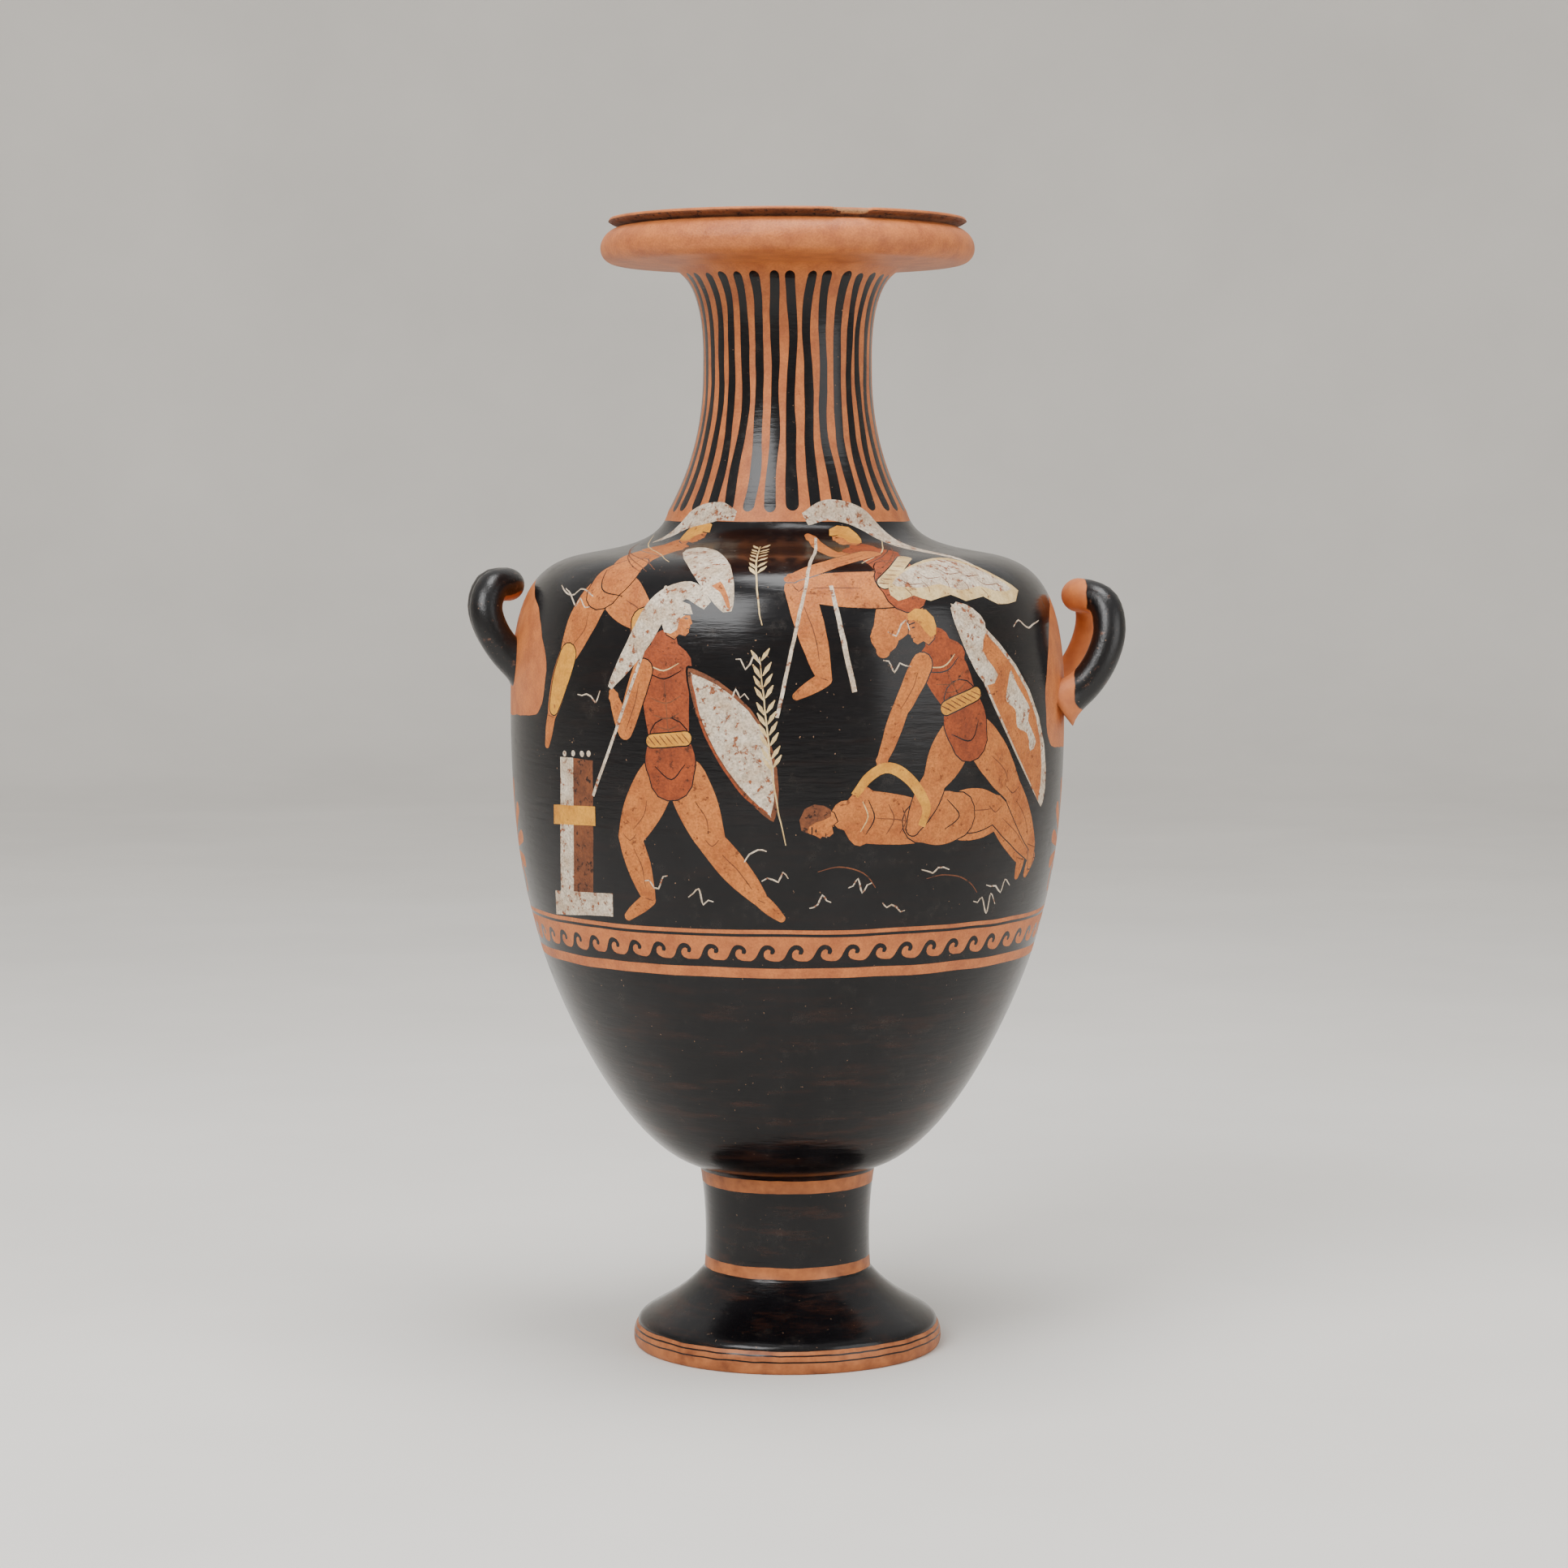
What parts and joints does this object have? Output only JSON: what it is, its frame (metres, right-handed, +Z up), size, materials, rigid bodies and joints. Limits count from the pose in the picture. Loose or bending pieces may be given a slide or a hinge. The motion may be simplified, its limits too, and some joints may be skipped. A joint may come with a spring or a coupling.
{
  "type": "hydria",
  "caption": "Ancient painted water jar with a narrow neck, flat rim, rounded belly on a stemmed foot, two upturned side handles and a strap handle at the back.",
  "frame": {"origin": "centre of the foot's resting ring, on the surface that the vase stands on", "axes": "+Z up along the vase's axis, -Y towards the painted front, +Y towards the strap handle, +X and -X towards the side handles"},
  "size_m": [0.3026, 0.2548, 0.519],
  "materials": {
    "fired_clay": "semi-gloss black slip over orange fired clay, with painted figures"
  },
  "bodies": {
    "root": {"hydria": "fired_clay"}
  },
  "joints": []
}
